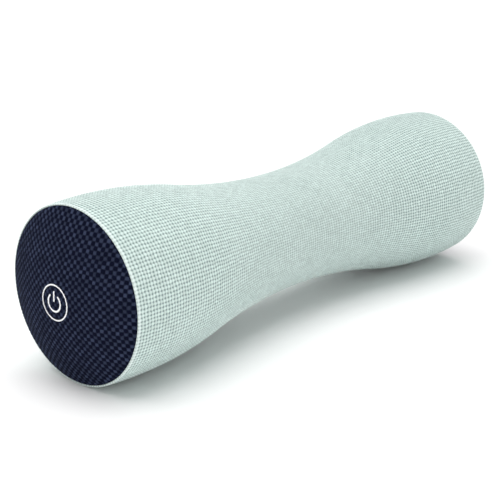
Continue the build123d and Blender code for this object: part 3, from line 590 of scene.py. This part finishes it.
def ink_strip(name, centre, across, half_width, body):
    """Strip of ink along a line of (y, z) places, with its width across them."""
    lanes = np.linspace(-1, 1, 5)
    y = centre[:, 0, None] + across[:, 0, None] * half_width[:, None] * lanes
    z = centre[:, 1, None] + across[:, 1, None] * half_width[:, None] * lanes
    skin = dome_x(np.hypot(y, z), 0.0) + navy_height(y, z) * NAVY_RELIEF * 0.75
    closed = bool(np.allclose(centre[0], centre[-1]))
    if closed:
        y, z, skin = y[:-1], z[:-1], skin[:-1]
    crown = INK * (1 - 0.6 * np.abs(lanes) ** 2)
    top = np.stack([-(skin + crown), y, z], axis=-1).reshape(-1, 3)
    bottom = np.stack([-(skin - 2 * INK), y, z], axis=-1).reshape(-1, 3)
    faces = grid_faces(y.shape[0], y.shape[1], closed, False)
    a, b, c = top[faces[0, 0]], top[faces[0, 1]], top[faces[0, 2]]
    if np.cross(b - a, c - b)[0] > 0:
        faces = faces[:, ::-1]
    points, whole = slab(top, bottom, faces)
    return piece(name, points, whole, body, white_ink)


def arc_places(radius, start, end, count):
    angle = np.linspace(start, end, count)
    outward = np.stack([np.cos(angle), np.sin(angle)], axis=-1)
    return outward * radius, outward


def round_ends(length, count, half):
    """Half widths along a stroke that make both its ends round."""
    s = np.linspace(0, length, count)
    near = np.minimum(np.minimum(s, length - s), half)
    return np.maximum(np.sqrt(half**2 - (half - near) ** 2), 0.03 * half)


def power_mark():
    ring, outward = arc_places(RING_RADIUS, 0, TURN, RING_COUNT)
    ring[-1] = ring[0]
    ink_strip("power_ring_print", ring, outward, np.full(RING_COUNT, RING_HALF_WIDTH), "casing")
    start = math.pi / 2 + ARC_OPENING
    arc, outward = arc_places(ARC_RADIUS, start, math.pi / 2 + TURN - ARC_OPENING, ARC_COUNT)
    widths = round_ends(ARC_RADIUS * (TURN - 2 * ARC_OPENING), ARC_COUNT, STROKE_HALF_WIDTH)
    ink_strip("power_arc_print", arc, outward, widths, "power_button")
    bar = np.stack([np.zeros(BAR_COUNT), np.linspace(BAR_LOW, BAR_HIGH, BAR_COUNT)], axis=-1)
    sideways = np.tile([1.0, 0.0], (BAR_COUNT, 1))
    widths = round_ends(BAR_LENGTH, BAR_COUNT, STROKE_HALF_WIDTH)
    ink_strip("power_bar_print", bar, sideways, widths, "power_button")


foam_pad()
cover_cloth()
disc_cloth("near_cap_cloth", -1, CAP_EDGE, BUTTON_HOLE, "casing", "near_cap_fabric")
disc_cloth("far_cap_cloth", 1, CAP_EDGE, PORT_HOLE, "casing", "far_cap_fabric")
disc_cloth("button_cloth", -1, BUTTON_RADIUS, 0.0, "power_button", "button_fabric")
power_mark()

# ---- Floor, light and camera

FLOOR_FLAT = 2.4
FLOOR_BEND = 0.9
FLOOR_TOP = 1.3
FLOOR_RINGS = 11
FLOOR_COLUMNS = 96
KEY_PLACE = (-0.05, 0.12, 1.5)
KEY_WIDTH = 66.0
KEY_ENERGY = 2.35
WORLD_STRENGTH = 0.47
CAMERA_PLACE = (-0.5473, -0.4715, 0.2175)
CAMERA_FORWARD = (0.7084, 0.6372, -0.3035)
CAMERA_RIGHT = (0.6687, -0.7435, 0.0)
CAMERA_LENS = 88.9


def floor():
    """Wide pale sweep, flat under the roller and curving up far away all round it."""
    rise = np.linspace(0, math.pi / 2, 17)
    rings = np.linspace(0.02, FLOOR_FLAT, FLOOR_RINGS + 1)[:-1]
    edge = FLOOR_FLAT + FLOOR_BEND
    reach = np.concatenate([rings, FLOOR_FLAT + FLOOR_BEND * np.sin(rise), [edge]])
    height = np.concatenate([np.zeros(FLOOR_RINGS), FLOOR_BEND * (1 - np.cos(rise)), [FLOOR_TOP]])
    angle = np.arange(FLOOR_COLUMNS) * TURN / FLOOR_COLUMNS
    x = reach[:, None] * np.cos(angle)
    y = reach[:, None] * np.sin(angle)
    z = np.broadcast_to(FLOOR_Z + height[:, None], x.shape)
    points = np.stack([x, y, z], axis=-1).reshape(-1, 3)
    centre = [list(range(FLOOR_COLUMNS))[::-1]]
    faces = grid_faces(len(reach), FLOOR_COLUMNS, False, True)
    g = Graph("pale_floor", 0.9, Specular_IOR_Level=0.1)
    g.colour(g.blend(g.noise(3.0, 2.0), srgb(253, 253, 253), srgb(250, 250, 250)))
    mesh = bpy.data.meshes.new("floor")
    mesh.from_pydata(points.tolist(), [], centre + faces.tolist())
    mesh.polygons.foreach_set("use_smooth", [True] * len(mesh.polygons))
    mesh.materials.append(g.material)
    obj = bpy.data.objects.new("floor", mesh)
    bpy.context.scene.collection.objects.link(obj)


def soft_light(name, place, width, energy):
    """Wide soft light from far away, aimed at the roller."""
    data = bpy.data.lights.new(name, "SUN")
    data.angle = math.radians(width)
    data.energy = energy
    light = bpy.data.objects.new(name, data)
    bpy.context.scene.collection.objects.link(light)
    light.location = place
    light.rotation_euler = (-Vector(place)).to_track_quat("-Z", "Y").to_euler()


def camera():
    """Camera that looks down on the near end from one side."""
    forward = Vector(CAMERA_FORWARD).normalized()
    right = Vector(CAMERA_RIGHT).normalized()
    up = right.cross(forward)
    data = bpy.data.cameras.new("camera")
    data.lens = CAMERA_LENS
    data.sensor_width = 36.0
    obj = bpy.data.objects.new("camera", data)
    bpy.context.scene.collection.objects.link(obj)
    turn = Matrix((right, up, -forward)).transposed().to_4x4()
    obj.matrix_world = Matrix.Translation(CAMERA_PLACE) @ turn
    bpy.context.scene.camera = obj


floor()
soft_light("key", KEY_PLACE, KEY_WIDTH, KEY_ENERGY)
world = bpy.data.worlds.new("studio")
world.use_nodes = True
world.node_tree.nodes["Background"].inputs["Color"].default_value = (1.0, 1.0, 1.0, 1.0)
world.node_tree.nodes["Background"].inputs["Strength"].default_value = WORLD_STRENGTH
bpy.context.scene.world = world
bpy.context.scene.view_settings.view_transform = "Standard"
camera()
